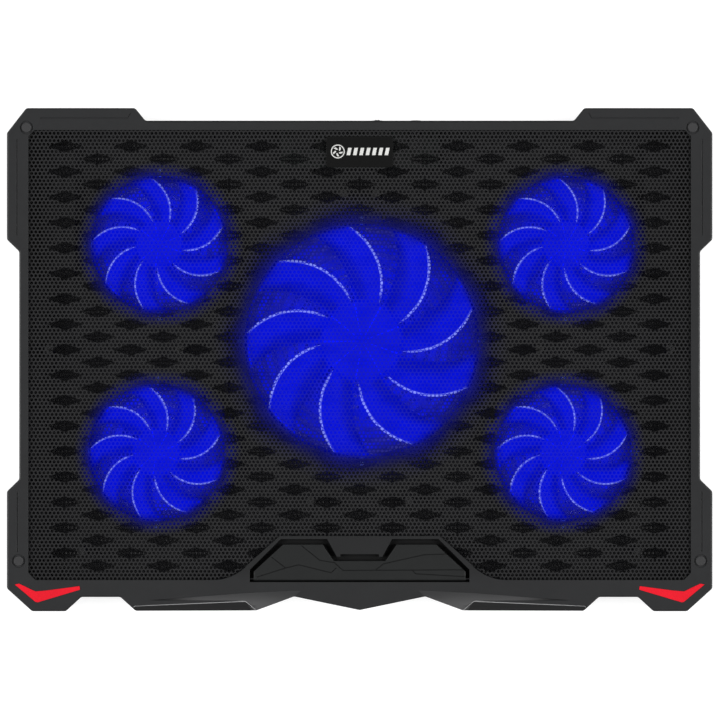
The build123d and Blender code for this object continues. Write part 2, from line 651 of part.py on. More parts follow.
def make_stator(fan):
    """Four-pole iron core with its windings, round the bearing tube."""
    x, y = fan[0], fan[1]
    _, magnet_in, tube_out, _, _ = motor_sizes(fan)
    shoe_out = magnet_in - 0.5
    low, high = HUB_BOTTOM + 1.5, HUB_TOP - 4.5
    shoes = disc(0, 0, shoe_out, low, high) - disc(0, 0, shoe_out - 1.2, low, high)
    for turn in range(2):
        gap = Rot(0, 0, 45 + 90 * turn) * Box(2 * shoe_out + 2, 2.4, 60)
        shoes -= gap
    body = disc(0, 0, tube_out + 1.2, low, high) + shoes
    for turn in range(2):
        body += Rot(0, 0, 90 * turn) * block(0, 0, 2 * shoe_out - 1, 2.2, low, high)
        coil = block(0, 0, 2 * (shoe_out - 1.8), 3.6, low + 0.6, high - 0.6)
        body += Rot(0, 0, 90 * turn) * coil
    return Pos(x, y) * (body - disc(0, 0, tube_out, 0, HUB_TOP))


def make_leads():
    """Flat two-wire leads from the fans to the control board, lying on the case floor."""
    routes = [
        [(14, 80.5), (14, 112)],
        [(78, 92), (60, 100), (28, 112)],
        [(76, -36), (77, 25), (60, 72), (20, 112)],
    ]
    left = [[(-x, y) for x, y in route] for route in routes[1:]]
    leads = []
    for route in routes + left:
        path = FilletPolyline(*route, radius=12) if len(route) > 2 else Polyline(*route)
        end_x, end_y = route[-1]
        flat = slab(trace(path, LEAD_WIDTH), FLOOR_Z, FLOOR_Z + LEAD_HEIGHT)
        leads.append(flat + block(end_x, end_y, LEAD_WIDTH, LEAD_WIDTH, FLOOR_Z, BOARD_Z))
    return leads


def make_board():
    """Control board with its stake holes and a few low parts."""
    width, depth, _ = BOARD
    body = block(0, BOARD_Y, width, depth, BOARD_Z, BOARD_TOP)
    for x, y in both_sides(BOARD_STAKES):
        body -= disc(x, y, STAKE_R + 0.1, BOARD_Z, BOARD_TOP)
    for x, wide, deep, tall in ((-2, 8, 5, 1.6), (20, 6, 6, 2.2), (-24, 5, 3, 1.2), (33, 5, 4, 3.0)):
        body += block(x, 113.5, wide, deep, BOARD_TOP, BOARD_TOP + tall)
    return body


def make_usb_shell(x):
    """Folded metal shell of a USB-A socket, open to the back."""
    y_out = BACK_WALL_OUT - 0.4
    y = y_out - USB_LENGTH / 2
    z = BOARD_TOP + USB_HEIGHT / 2
    shell = Pos(x, y, z) * Box(USB_WIDTH, USB_LENGTH, USB_HEIGHT)
    shell = fillet(shell.edges().filter_by(Axis.Y), 0.5)
    hollow = Pos(x, y, z) * Box(USB_WIDTH - 2 * USB_SHEET, USB_LENGTH, USB_HEIGHT - 2 * USB_SHEET)
    return shell - hollow


def make_usb_cores():
    """Insulating blocks in the sockets, each with the tongue that carries the contacts."""
    y_out = BACK_WALL_OUT - 0.4
    z = BOARD_TOP + USB_HEIGHT / 2
    tongue_w, tongue_h, tongue_l = USB_TONGUE
    y_back = y_out - USB_LENGTH
    core_front = y_out - 1.2 - tongue_l
    cores = []
    for x in USB_X:
        width, height = USB_WIDTH - 2 * USB_SHEET, USB_HEIGHT - 2 * USB_SHEET
        core = Pos(x, (y_back + core_front) / 2, z) * Box(width, core_front - y_back, height)
        tongue = Pos(x, core_front + tongue_l / 2, z + 1.0) * Box(tongue_w, tongue_l, tongue_h)
        cores.append(core + tongue)
    return cores


def make_speed_wheel():
    """Thumbwheel with a notched rim."""
    low, high = CONTROL_Z - WHEEL_THICK / 2, CONTROL_Z + WHEEL_THICK / 2
    wheel = disc(WHEEL_X, WHEEL_Y, WHEEL_R, low, high)
    wheel = chamfer(wheel.edges().filter_by(GeomType.CIRCLE), 0.4)
    for turn in range(WHEEL_NOTCHES):
        dx, dy = polar(WHEEL_R + 0.3, 360 * turn / WHEEL_NOTCHES)
        wheel -= disc(WHEEL_X + dx, WHEEL_Y + dy, 0.6, low, high)
    return wheel - disc(WHEEL_X, WHEEL_Y, SPINDLE_R + PIN_CLEARANCE, low, high)


def make_speed_control():
    """Rotary control on the board, with the spindle that the wheel turns on."""
    body = block(WHEEL_X, WHEEL_Y - 1.5, 9, 7.4, BOARD_TOP, CONTROL_Z - WHEEL_THICK / 2 - 0.3)
    return body + disc(WHEEL_X, WHEEL_Y, SPINDLE_R, BOARD_TOP, CONTROL_Z + WHEEL_THICK / 2)


def make_button():
    cap = rod_y(BUTTON_X, BUTTON_IN, BUTTON_OUT, CONTROL_Z, BUTTON_R)
    cap = fillet(cap.faces().sort_by(Axis.Y)[-1].edges(), 0.5)
    flange = rod_y(BUTTON_X, BUTTON_FLANGE, BUTTON_FLANGE + 1.5, CONTROL_Z, BUTTON_R + 0.8)
    stem = rod_y(BUTTON_X, BUTTON_IN - 3.5, BUTTON_IN, CONTROL_Z, 1.2)
    return cap + flange + stem


def make_button_switch():
    """Push switch behind the button."""
    y_front = BUTTON_IN - 1.4
    body = block(BUTTON_X, y_front - 3.5, 8, 7, BOARD_TOP, CONTROL_Z + 3.3)
    return body - rod_y(BUTTON_X, y_front - 5.5, y_front + 1, CONTROL_Z, 1.3)


def save(name, shapes):
    """Write one node: a single solid, or a group of separate solids."""
    if isinstance(shapes, list):
        shapes = Compound(children=[solid for shape in shapes for solid in shape.solids()])
    export_step(shapes, f"parts/{name}.step")


def save_fans():
    for name, fan in FANS.items():
        save(f"fan_{name}_frame", make_fan_frame(fan))
        save(f"fan_{name}_rotor", make_rotor(fan))
        save(f"fan_{name}_magnet", make_magnet(fan))
        save(f"fan_{name}_shaft", make_shaft(fan))
        save(f"fan_{name}_bearing", make_bearing(fan))
        save(f"fan_{name}_stator", make_stator(fan))
    places = [place for fan in FANS.values() for place in led_places(fan)]
    save("fan_lamps", [led_shape(*place) for place in places])
    ears = [place for fan in FANS.values() for place in ear_places(fan)]
    save("fan_screws", [make_screw(x, y, FAN_SEAT_Z, FAN_PILOT_R, 7) for x, y in ears])
    save("fan_leads", make_leads())


def save_case():
    save("top_frame", make_top_frame())
    save("mesh_panel", make_sheet())
    save("badge", make_badge())
    trim = slab(offset(trim_plan(), -INLAY_GAP), FRAME_TOP - INLAY_DEPTH, FRAME_TOP + TRIM_PROUD)
    save("trim_left", trim)
    save("trim_right", mirror(trim, about=Plane.YZ))
    save("corner_pads", make_corner_pads())
    save("base_cover", make_base())
    save("rubber_feet", [make_foot(x, y) for x, y in both_sides(FEET)])
    screws = [make_screw(x, y, CASE_SEAT_Z, PILOT_R, 10) for x, y in both_sides(CASE_SCREWS)]
    save("case_screws", screws)
    save("stop_plate", make_stop())
    for side, word in ((-1, "left"), (1, "right")):
        save(f"stop_pin_{word}", make_stop_pin(side))
        save(f"leg_{word}", make_leg(side))
        save(f"leg_tip_{word}", make_leg_tip(side))
        save(f"leg_pin_{word}", make_leg_pin(side))


def save_controls():
    save("control_board", make_board())
    for x, word in zip(USB_X, ("left", "right")):
        save(f"usb_socket_{word}", make_usb_shell(x))
    save("usb_cores", make_usb_cores())
    save("speed_wheel", make_speed_wheel())
    save("speed_control", make_speed_control())
    save("lamp_button", make_button())
    save("button_switch", make_button_switch())


os.makedirs("parts", exist_ok=True)
save_case()
save_fans()
save_controls()
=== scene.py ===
import json
import math

import bpy
import numpy as np
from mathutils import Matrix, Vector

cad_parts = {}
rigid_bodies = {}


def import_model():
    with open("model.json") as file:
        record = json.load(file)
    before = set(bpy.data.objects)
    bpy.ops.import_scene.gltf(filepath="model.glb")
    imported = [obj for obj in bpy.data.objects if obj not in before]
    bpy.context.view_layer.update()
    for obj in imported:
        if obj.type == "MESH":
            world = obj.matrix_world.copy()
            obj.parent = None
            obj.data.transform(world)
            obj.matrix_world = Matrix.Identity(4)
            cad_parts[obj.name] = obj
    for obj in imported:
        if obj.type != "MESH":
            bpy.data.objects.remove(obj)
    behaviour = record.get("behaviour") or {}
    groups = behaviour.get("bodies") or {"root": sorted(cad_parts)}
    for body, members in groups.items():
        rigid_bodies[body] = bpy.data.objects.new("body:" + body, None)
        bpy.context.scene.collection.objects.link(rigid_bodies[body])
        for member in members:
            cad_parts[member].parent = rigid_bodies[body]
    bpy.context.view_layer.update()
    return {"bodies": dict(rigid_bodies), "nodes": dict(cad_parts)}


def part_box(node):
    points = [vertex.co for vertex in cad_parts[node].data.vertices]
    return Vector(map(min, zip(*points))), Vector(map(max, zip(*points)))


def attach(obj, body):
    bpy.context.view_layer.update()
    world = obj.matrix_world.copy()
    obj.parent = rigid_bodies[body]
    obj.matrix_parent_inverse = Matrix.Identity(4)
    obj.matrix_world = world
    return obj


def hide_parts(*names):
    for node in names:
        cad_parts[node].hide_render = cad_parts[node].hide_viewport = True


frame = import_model()
NODES = frame["nodes"]
BODIES = frame["bodies"]
MM = 0.001

# Fans: centre X, centre Y, rotor radius, hub radius, in mm, as in the CAD
FANS = {
    "centre": (1.3, 10.6, 65.3, 22.4),
    "back_left": (-113.9, 65.5, 37.6, 12.8),
    "back_right": (117.4, 65.4, 37.6, 12.8),
    "front_left": (-115.4, -52.9, 37.6, 12.8),
    "front_right": (115.8, -52.9, 37.6, 12.8),
}
BLADES = 9
BLADE_TURN, BLADE_SWEEP, BLADE_CURL = 24.9, 32.0, 0.40
BLADE_ARC_HUB, BLADE_ARC_TIP = 36.0, 18.0
BLADE_RISE, BLADE_MID_Z, BLADE_NARROWING = 8.5, 17.0, 0.15
BIG_ROTOR_R = 50.0           # rotors above this radius are the big kind
BLUE = (0.0004, 0.0042, 0.59, 1.0)
# Black for painted shade on the frame and the stop
SHADE_BLACK = (0.0004, 0.0004, 0.0005, 1)


# ---------------------------------------------------------------- shader graphs

class Graph:
    """A node tree, with short calls for the nodes used most."""

    def __init__(self, tree):
        self.tree = tree

    def node(self, kind, inputs=None, **settings):
        made = self.tree.nodes.new("ShaderNode" + kind)
        for name, value in settings.items():
            setattr(made, name, value)
        for key, value in (inputs or {}).items():
            self.feed(made.inputs[key], value)
        return made

    def feed(self, socket, value):
        if isinstance(value, bpy.types.NodeSocket):
            self.tree.links.new(value, socket)
        else:
            socket.default_value = value

    def math(self, operation, a, b=0.0, clamp=False):
        return self.node("Math", {0: a, 1: b}, operation=operation, use_clamp=clamp).outputs[0]

    def vector(self, operation, a, b=(0, 0, 0)):
        return self.node("VectorMath", {0: a, 1: b}, operation=operation)

    def ramp(self, value, low, high, to_low=0.0, to_high=1.0, kind="SMOOTHSTEP"):
        """value between low and high as to_low to to_high, held at the ends."""
        inputs = {"Value": value, "From Min": low, "From Max": high,
                  "To Min": to_low, "To Max": to_high}
        return self.node("MapRange", inputs, interpolation_type=kind, clamp=True).outputs[0]

    def along(self, place, start, end, low=0.0, high=1.0, kind="SMOOTHSTEP"):
        """The same between two places given in mm."""
        return self.ramp(place, start * MM, end * MM, low, high, kind)

    def blend(self, share, a, b):
        """a where share is 0, b where it is 1."""
        return self.math("ADD", self.math("MULTIPLY", self.math("SUBTRACT", 1.0, share), a),
                         self.math("MULTIPLY", share, b))

    def noise(self, place, scale, detail=2.0, roughness=0.5):
        inputs = {"Vector": place, "Scale": scale, "Detail": detail, "Roughness": roughness}
        return self.node("TexNoise", inputs).outputs[0]

    def mix(self, share, a, b):
        made = self.node("Mix", {"Factor": share}, data_type="RGBA")
        self.feed(made.inputs[6], a)
        self.feed(made.inputs[7], b)
        return made.outputs[2]

    def soft_edges(self, radius):
        """Normal with small roundings on sharp edges, and how much of an edge a point is on."""
        soft = self.node("Bevel", {"Radius": radius * MM}, samples=4).outputs[0]
        true = self.node("NewGeometry").outputs["Normal"]
        same = self.vector("DOT_PRODUCT", soft, true).outputs["Value"]
        return soft, self.ramp(same, 0.995, 0.80)


def scaled(colour, by):
    return tuple(min(1.0, c * by) for c in colour[:3]) + (1.0,)


def new_material(name):
    made = bpy.data.materials.new(name)
    made.use_nodes = True
    return made, Graph(made.node_tree), made.node_tree.nodes["Principled BSDF"]


def place_of(graph):
    return graph.node("TexCoord").outputs["Object"]


def moulded(name, colour, rough=0.5, specular=0.5, grain=0.45, relief=0.02, wear=1.6, edge=0.25):
    """Injection-moulded plastic: eroded grain, cloudy gloss, and edges rubbed a little paler."""
    made, g, shader = new_material(name)
    at = place_of(g)
    cloud = g.noise(at, 45, 3.0)
    grains = g.noise(at, 1 / (grain * MM), 2.0, 0.6)
    soft, on_edge = g.soft_edges(edge)
    mottled = g.mix(g.ramp(cloud, 0.3, 0.7), scaled(colour, 0.95), scaled(colour, 1.05))
    speckled = g.mix(g.ramp(grains, 0.35, 0.7, 0.0, 0.3), mottled, scaled(colour, 1.5))
    rubbed = g.math("MULTIPLY", on_edge, g.ramp(g.noise(at, 160, 3.0), 0.35, 0.65, 0.25, 0.9))
    g.feed(shader.inputs["Base Color"], g.mix(rubbed, speckled, scaled(colour, wear)))
    gloss = g.ramp(g.noise(at, 220, 3.0), 0.3, 0.7, rough - 0.02, rough + 0.03)
    g.feed(shader.inputs["Roughness"], gloss)
    bump = g.node("Bump", {"Strength": 0.5, "Distance": relief * MM, "Height": grains,
                           "Normal": soft})
    g.feed(shader.inputs["Normal"], bump.outputs[0])
    shader.inputs["Specular IOR Level"].default_value = specular
    return made, g, shader


def metal(name, colour, rough=0.3, lines=(1, 1, 12), relief=0.006):
    """Worked metal: fine tool lines one way, with uneven gloss."""
    made, g, shader = new_material(name)
    at = place_of(g)
    drawn = g.vector("MULTIPLY", at, lines).outputs[0]
    marks = g.noise(drawn, 900, 3.0, 0.6)
    g.feed(shader.inputs["Base Color"], g.mix(marks, scaled(colour, 0.8), scaled(colour, 1.1)))
    g.feed(shader.inputs["Roughness"], g.ramp(marks, 0.3, 0.7, rough - 0.08, rough + 0.1))
    soft, _ = g.soft_edges(0.12)
    bump = g.node("Bump", {"Strength": 0.5, "Distance": relief * MM, "Height": marks,
                           "Normal": soft})
    g.feed(shader.inputs["Normal"], bump.outputs[0])
    shader.inputs["Metallic"].default_value = 1.0
    return made


def new_group(name, inputs, outputs):
    tree = bpy.data.node_groups.new(name, "ShaderNodeTree")
    for title, kind in inputs:
        tree.interface.new_socket(name=title, in_out="INPUT", socket_type="NodeSocket" + kind)
    for title, kind in outputs:
        tree.interface.new_socket(name=title, in_out="OUTPUT", socket_type="NodeSocket" + kind)
    g = Graph(tree)
    source = tree.nodes.new("NodeGroupInput")
    sink = tree.nodes.new("NodeGroupOutput")
    return tree, g, source.outputs, sink.inputs


# Light on each part of a blade: from one share of the way out to another, from level to level
LIGHT_TIP = (0.80, 1.0, 1.0, 0.80)
LIGHT_BEHIND = (0.45, 1.0, 0.72, 0.24)
LIGHT_GAP = (0.35, 1.0, 1.0, 0.28)
# Where those parts begin and end, as a share of the way round from one front edge to the next
TO_TIP, TO_BEHIND, TO_GAP, TO_NEXT = (0.05, 0.30), (0.30, 0.60), (0.68, 0.88), (0.94, 1.0)
FROM_HUB = (0.0, 0.06)
# Halo past the tips: where it takes over, in mm from the rim, its share of the radius, its light
HALO_FROM, HALO_TO = -4.0, 3.0
HALO_WIDTH, HALO_LOW, HALO_HIGH = 0.37, 0.22, 0.50
HALO_BEHIND, HALO_AHEAD = (0.05, 0.50), (0.75, 1.0)
LINE_CORE, LINE_HALF, LINE_STOP = 0.2, 0.9, 1.5    # the bright lines' half widths and end, in mm
LINE_START = (0.03, 0.25)


def make_blade_light():
    """How brightly a lit rotor shows at a place: on its blades, between them and past their tips.
    Place is measured from the rotor's axis, turning with it."""
    tree, g, given, wanted = new_group(
        "blade_light",
        [("Place", "Vector"), ("Radius", "Float"), ("Hub", "Float")],
        [("Glow", "Float"), ("Line", "Float"), ("Blade", "Float"), ("Share", "Float"),
         ("Reach", "Float")])
    split = g.node("SeparateXYZ", {0: given["Place"]})
    x, y = split.outputs["X"], split.outputs["Y"]
    reach = g.math("SQRT", g.math("ADD", g.math("MULTIPLY", x, x), g.math("MULTIPLY", y, y)))
    share = g.ramp(reach, given["Hub"], given["Radius"], kind="LINEAR")
    curl = g.math("ADD", g.math("MULTIPLY", share, BLADE_CURL), 1 - BLADE_CURL)
    lead = g.math("MULTIPLY", g.math("MULTIPLY", share, curl), math.radians(BLADE_SWEEP))
    turn = g.math("SUBTRACT", g.math("ARCTAN2", y, x), lead)
    turn = g.math("SUBTRACT", turn, math.radians(BLADE_TURN))
    pitch = math.tau / BLADES
    phase = g.math("DIVIDE", g.math("FLOORED_MODULO", turn, pitch), pitch)
    # Full light on a blade's front half, less behind it, and least at the gaps between the tips
    behind = g.ramp(share, *LIGHT_BEHIND)
    gap = g.ramp(share, *LIGHT_GAP)
    tip = g.ramp(share, *LIGHT_TIP)
    level = g.blend(g.ramp(phase, *TO_TIP), 1.0, tip)
    level = g.blend(g.ramp(phase, *TO_BEHIND), level, behind)
    level = g.blend(g.ramp(phase, *TO_GAP), level, gap)
    level = g.blend(g.ramp(phase, *TO_NEXT), level, 1.0)
    level = g.blend(g.ramp(share, *FROM_HUB), 1.0, level)
    beyond = g.math("SUBTRACT", reach, given["Radius"])
    within = g.along(beyond, HALO_FROM, HALO_TO, 1.0, 0.0)
    width = g.math("MULTIPLY", given["Radius"], HALO_WIDTH)
    out = g.math("DIVIDE", g.math("SUBTRACT", beyond, HALO_FROM * MM), width, clamp=True)
    halo = g.math("POWER", g.math("SUBTRACT", 1.0, out), 2.0)
    near = g.math("MAXIMUM", g.ramp(phase, *HALO_BEHIND, 1.0, 0.0), g.ramp(phase, *HALO_AHEAD))
    halo = g.math("MULTIPLY", halo, g.ramp(near, 0, 1, HALO_LOW, HALO_HIGH, "LINEAR"))
    glow = g.blend(within, halo, level)
    aside = g.math("MINIMUM", phase, g.math("SUBTRACT", 1.0, phase))
    aside = g.math("MULTIPLY", g.math("MULTIPLY", aside, pitch), reach)
    line = g.along(aside, LINE_CORE, LINE_HALF, 1.0, 0.0)
    line = g.math("MULTIPLY", line, g.ramp(share, *LINE_START))
    line = g.math("MULTIPLY", line, g.along(beyond, -LINE_STOP, 0.0, 1.0, 0.0))
    g.feed(wanted["Glow"], glow)
    g.feed(wanted["Line"], line)
    g.feed(wanted["Blade"], phase)
    g.feed(wanted["Share"], share)
    g.feed(wanted["Reach"], reach)
    return tree


WASH_FULL, WASH_END = -5, 11     # mm from a rotor's rim where the lamps' light is full, and gone


def from_axis(g, place, x, y):
    """How far a place is from a fan's axis, in metres."""
    flat = g.vector("MULTIPLY", place, (1, 1, 0)).outputs[0]
    return g.vector("DISTANCE", flat, (x * MM, y * MM, 0)).outputs["Value"]


def make_wash():
    """Blue light that the lamps throw round the fans, by place on the case: the nearest fan's."""
    tree, g, given, wanted = new_group("lamp_wash", [("Place", "Vector")], [("Wash", "Float")])
    total = None
    for x, y, radius, _ in FANS.values():
        away = from_axis(g, given["Place"], x, y)
        light = g.along(away, radius + WASH_FULL, radius + WASH_END, 1.0, 0.0, "LINEAR")
        light = g.math("POWER", light, 2.0)
        total = light if total is None else g.math("MAXIMUM", total, light)
    g.feed(wanted["Wash"], total)
    return tree


BLADE_LIGHT = make_blade_light()
WASH = make_wash()


def blade_light(g, place, fan):
    x, y, radius, hub = fan
    group = g.node("Group", node_tree=BLADE_LIGHT)
    g.feed(group.inputs["Place"], g.vector("SUBTRACT", place, (x * MM, y * MM, 0)).outputs[0])
    group.inputs["Radius"].default_value = radius * MM
    group.inputs["Hub"].default_value = hub * MM
    return group.outputs


def wash(g, place):
    group = g.node("Group", node_tree=WASH)
    g.feed(group.inputs["Place"], place)
    return group.outputs[0]


# ---------------------------------------------------------------- materials

SHEET_FLAT_Z, SHEET_PRESSED_Z = 26.195, 26.11    # painted shade in the pressed diamonds deepens between these heights, in mm
COAT_DARK, COAT_PALE = (0.0195, 0.0195, 0.0203, 1), (0.0215, 0.0215, 0.0224, 1)
COAT_PRESSED_SHADE, COAT_LIT = (0.0028, 0.0028, 0.0032, 1), (0.0, 0.0, 0.001, 1)
LINE_BLUE = (0.10, 0.13, 0.85, 1)


def powder_coat_and_painted_glow():
    """Black powder coat on the perforated sheet, with painted shade in its pressed diamonds and
    painted glow: the coat gives off the rotors' blue light in their pattern, turning with them.
    """
    made, g, shader = new_material("mesh_powder_coat")
    at = place_of(g)
    grains = g.noise(at, 2600, 2.0)
    cloud = g.noise(at, 30, 3.0)
    total, lines = 0.0, 0.0
    # Painted glow: each rotor's pattern of light, turning with its spinner, laid on the coat
    for name, fan in FANS.items():
        turning = g.node("TexCoord", object=BODIES[f"fan_{name}_spinner"]).outputs["Object"]
        light = blade_light(g, turning, fan)
        total = g.math("ADD", light["Glow"], total)
        lines = g.math("ADD", light["Line"], lines)
    lit = g.ramp(total, 0.0, 0.14)
    height = g.node("SeparateXYZ", {0: at}).outputs["Z"]
    # Painted shade: the coat's colour darkens down into the pressed diamonds
    pressed = g.along(height, SHEET_FLAT_Z, SHEET_PRESSED_Z)
    flat = g.mix(g.ramp(cloud, 0.3, 0.7), COAT_DARK, COAT_PALE)
    plain = g.mix(pressed, flat, COAT_PRESSED_SHADE)
    # Where the painted glow lies, the coat's own colour goes near black
    g.feed(shader.inputs["Base Color"], g.mix(g.math("MULTIPLY", lit, 0.93), plain, COAT_LIT))
    gloss = g.ramp(grains, 0.3, 0.7, 0.25, 0.32)
    g.feed(shader.inputs["Roughness"], g.math("ADD", gloss, g.math("MULTIPLY", lit, 0.35)))
    shader.inputs["Specular IOR Level"].default_value = 0.12
    bump = g.node("Bump", {"Strength": 0.35, "Distance": 0.01 * MM, "Height": grains})
    g.feed(shader.inputs["Normal"], bump.outputs[0])
    smoke = g.ramp(g.noise(at, 55, 3.0, 0.6), 0.3, 0.7, 0.90, 1.06)
    # Painted glow given off by the coat, with the rotors' bright lines in a paler blue
    g.feed(shader.inputs["Emission Strength"], g.math("MULTIPLY", total, smoke))
    g.feed(shader.inputs["Emission Color"], g.mix(g.math("MULTIPLY", lines, 0.5), BLUE, LINE_BLUE))
    return made


RIM_IN, RIM_HALF, RIM_END = 0.7, 0.2, 1.0        # the rotor's bright rim, in mm
ROOT_RISE, ROOT_FALL = (0.84, 0.90), (0.96, 0.90)   # its bright blade roots, by the way round
ROOT_END = (0.30, 0.05)                          # and by the way out


def lit_rotor(name, fan):
    """Clear blue plastic full of lamp light: deeper towards the gaps, with faint bright rims."""
    made, g, shader = new_material(f"rotor_{name}_blue")
    at = place_of(g)
    radius = fan[2]
    light = blade_light(g, at, fan)
    swirl = g.noise(at, 120, 3.0, 0.6)
    g.feed(shader.inputs["Base Color"],
           g.mix(swirl, (0.0015, 0.003, 0.10, 1), (0.003, 0.005, 0.18, 1)))
    g.feed(shader.inputs["Roughness"], g.ramp(swirl, 0.3, 0.7, 0.45, 0.6))
    shader.inputs["Specular IOR Level"].default_value = 0.10
    bump = g.node("Bump", {"Strength": 0.3, "Distance": 0.03 * MM, "Height": g.noise(at, 700)})
    g.feed(shader.inputs["Normal"], bump.outputs[0])
    rim = g.math("ABSOLUTE", g.math("SUBTRACT", light["Reach"], (radius - RIM_IN) * MM))
    rim = g.along(rim, RIM_HALF, RIM_END, 1.0, 0.0)
    rim = g.math("MULTIPLY", rim, g.ramp(g.noise(at, 90), 0.45, 0.7, 0.0, 0.8))
    root = g.ramp(light["Blade"], *ROOT_RISE)
    root = g.math("MULTIPLY", root, g.ramp(light["Blade"], *ROOT_FALL))
    root = g.math("MULTIPLY", root, g.ramp(light["Share"], *ROOT_END, 0.0, 0.9))
    strength = g.math("MULTIPLY", light["Glow"], g.ramp(swirl, 0.3, 0.7, 0.92, 1.08))
    strength = g.math("ADD", strength, g.math("ADD", rim, root))
    g.feed(shader.inputs["Emission Strength"], strength)
    shader.inputs["Emission Color"].default_value = BLUE
    return made


EDGE_LIGHT_BIG, EDGE_LIGHT_SMALL = 0.50, 0.36


def lit_edge(name, fan):
    """Light coming out of a blade's upper edge, strongest half way along it."""
    made, g, shader = new_material(f"rotor_{name}_edge")
    at = place_of(g)
    light = blade_light(g, at, fan)
    most = EDGE_LIGHT_BIG if fan[2] > BIG_ROTOR_R else EDGE_LIGHT_SMALL
    rise = g.ramp(light["Share"], 0.0, 0.35, 0.20, most)
    fall = g.ramp(light["Share"], 0.75, 1.0, 1.0, 0.7)
    spark = g.ramp(g.noise(at, 170, 2.0), 0.35, 0.65, 0.75, 1.2)
    strength = g.math("MULTIPLY", g.math("MULTIPLY", rise, fall), spark)
    g.feed(shader.inputs["Emission Strength"], strength)
    shader.inputs["Emission Color"].default_value = (0.36, 0.43, 1.0, 1)
    g.feed(shader.inputs["Base Color"], g.mix(spark, (0.10, 0.12, 0.5, 1), (0.2, 0.25, 0.8, 1)))
    shader.inputs["Roughness"].default_value = 0.3
    return made


FLOOR_LIT = (2.4, 3.4)       # the case's inside is lit from here up, in mm
WALL_DARK = (23, 19)         # and down from here


def lit_inside(name, colour, strength, inner_only=False):
    """Black plastic of the fans and the case floor, with painted blue lamp light on it near the
    fans.
    """
    made, g, shader = moulded(name, colour, 0.55, 0.4)
    at = place_of(g)
    # Painted light: the lamps' blue on the plastic, given off as emission
    light = wash(g, at)
    height = g.node("SeparateXYZ", {0: at}).outputs["Z"]
    if inner_only:
        light = g.math("MULTIPLY", light, g.along(height, *FLOOR_LIT))
        light = g.math("MULTIPLY", light, g.along(height, *WALL_DARK))
    light = g.math("MULTIPLY", light, g.ramp(g.noise(at, 70, 3.0), 0.3, 0.7, 0.6, 1.2))
    g.feed(shader.inputs["Emission Strength"], g.math("MULTIPLY", light, strength))
    shader.inputs["Emission Color"].default_value = BLUE
    return made


LAMP_NOSE, LAMP_BODY = 1.9, 3.2                  # mm from the rim: where a lamp shines, and doesn't
LAMP_TAIL, LAMP_END = 7, 9                       # and where its share of the glow ends


def lamp_light():
    """Blue lamps that shine only at the nose."""
    made, g, shader = new_material("lamp_epoxy")
    at = place_of(g)
    total = None
    for x, y, radius, _ in FANS.values():
        away = from_axis(g, at, x, y)
        nose = g.along(away, radius + LAMP_NOSE, radius + LAMP_BODY, 1.0, 0.04)
        near = g.along(away, radius + LAMP_TAIL, radius + LAMP_END, 1.0, 0.0)
        nose = g.math("MULTIPLY", nose, near)
        total = nose if total is None else g.math("MAXIMUM", total, nose)
    g.feed(shader.inputs["Emission Strength"], g.math("MULTIPLY", total, 0.3))
    shader.inputs["Emission Color"].default_value = (0.05, 0.10, 1.0, 1)
    g.feed(shader.inputs["Base Color"],
           g.mix(g.noise(at, 400), (0.02, 0.04, 0.4, 1), (0.04, 0.08, 0.6, 1)))
    shader.inputs["Roughness"].default_value = 0.4
    return made


LAMINATE_Z, PARTS_Z = 10.62, 10.66               # top of the board, and what stands on it, in mm
STATOR_Z, COIL_HALF, CORE_FROM = 16, 1.85, 1.95  # the stator's middle, and its copper's reach, in mm


def circuit_board():
    """Dark laminate with printed tracks, and black parts on it."""
    made, g, shader = new_material("board_laminate")
    at = place_of(g)
    tracks = g.node("TexBrick", {"Vector": at, "Scale": 260.0, "Mortar Size": 0.012, "Bias": 0.0,
                                 "Color1": (0.004, 0.010, 0.008, 1),
                                 "Color2": (0.003, 0.008, 0.007, 1),
                                 "Mortar": (0.008, 0.022, 0.016, 1)}).outputs["Color"]
    height = g.node("SeparateXYZ", {0: at}).outputs["Z"]
    parts = g.along(height, LAMINATE_Z, PARTS_Z)
    g.feed(shader.inputs["Base Color"], g.mix(parts, tracks, (0.012, 0.012, 0.013, 1)))
    g.feed(shader.inputs["Roughness"], g.ramp(g.noise(at, 300), 0.3, 0.7, 0.3, 0.45))
    return made


def windings():
    """Copper coils on a grey iron core, told apart by height."""
    made, g, shader = new_material("stator_core")
    at = place_of(g)
    turns = g.node("TexWave", {"Vector": at, "Scale": 700.0, "Distortion": 1.0, "Detail": 1.0},
                   bands_direction="Z").outputs[0]
    copper = g.mix(turns, (0.25, 0.07, 0.02, 1), (0.65, 0.24, 0.09, 1))
    iron = g.mix(turns, (0.08, 0.08, 0.085, 1), (0.14, 0.14, 0.15, 1))
    height = g.node("SeparateXYZ", {0: at}).outputs["Z"]
    aside = g.math("ABSOLUTE", g.math("SUBTRACT", height, STATOR_Z * MM))
    middle = g.along(aside, COIL_HALF, CORE_FROM, 1.0, 0.0)
    g.feed(shader.inputs["Base Color"], g.mix(middle, iron, copper))
    shader.inputs["Metallic"].default_value = 0.9
    g.feed(shader.inputs["Roughness"], g.ramp(turns, 0, 1, 0.3, 0.5))
    return made


# Where painted shade darkens the frame: how much, and the soft steps round it, as (axis, from, to)
# in mm
SHADE_PLACES = {
    "island": (0.32, (("back", -126, -118), ("back", -98, -99), ("across", 84, 78))),
    "sunk": (0.62, (("across", 54, 56), ("across", 132, 130), ("back", -134, -136),
                    ("up", 27.0, 26.8))),
    "pocket": (0.96, (("back", -126.6, -126.2), ("back", -101.2, -101.6), ("across", 63, 62.6),
                      ("up", 27.3, 26.9))),
    "rear": (0.80, (("back", 134.3, 135.0), ("across", 121.5, 120.5))),
}
POCKET_ROUGHNESS = 0.95
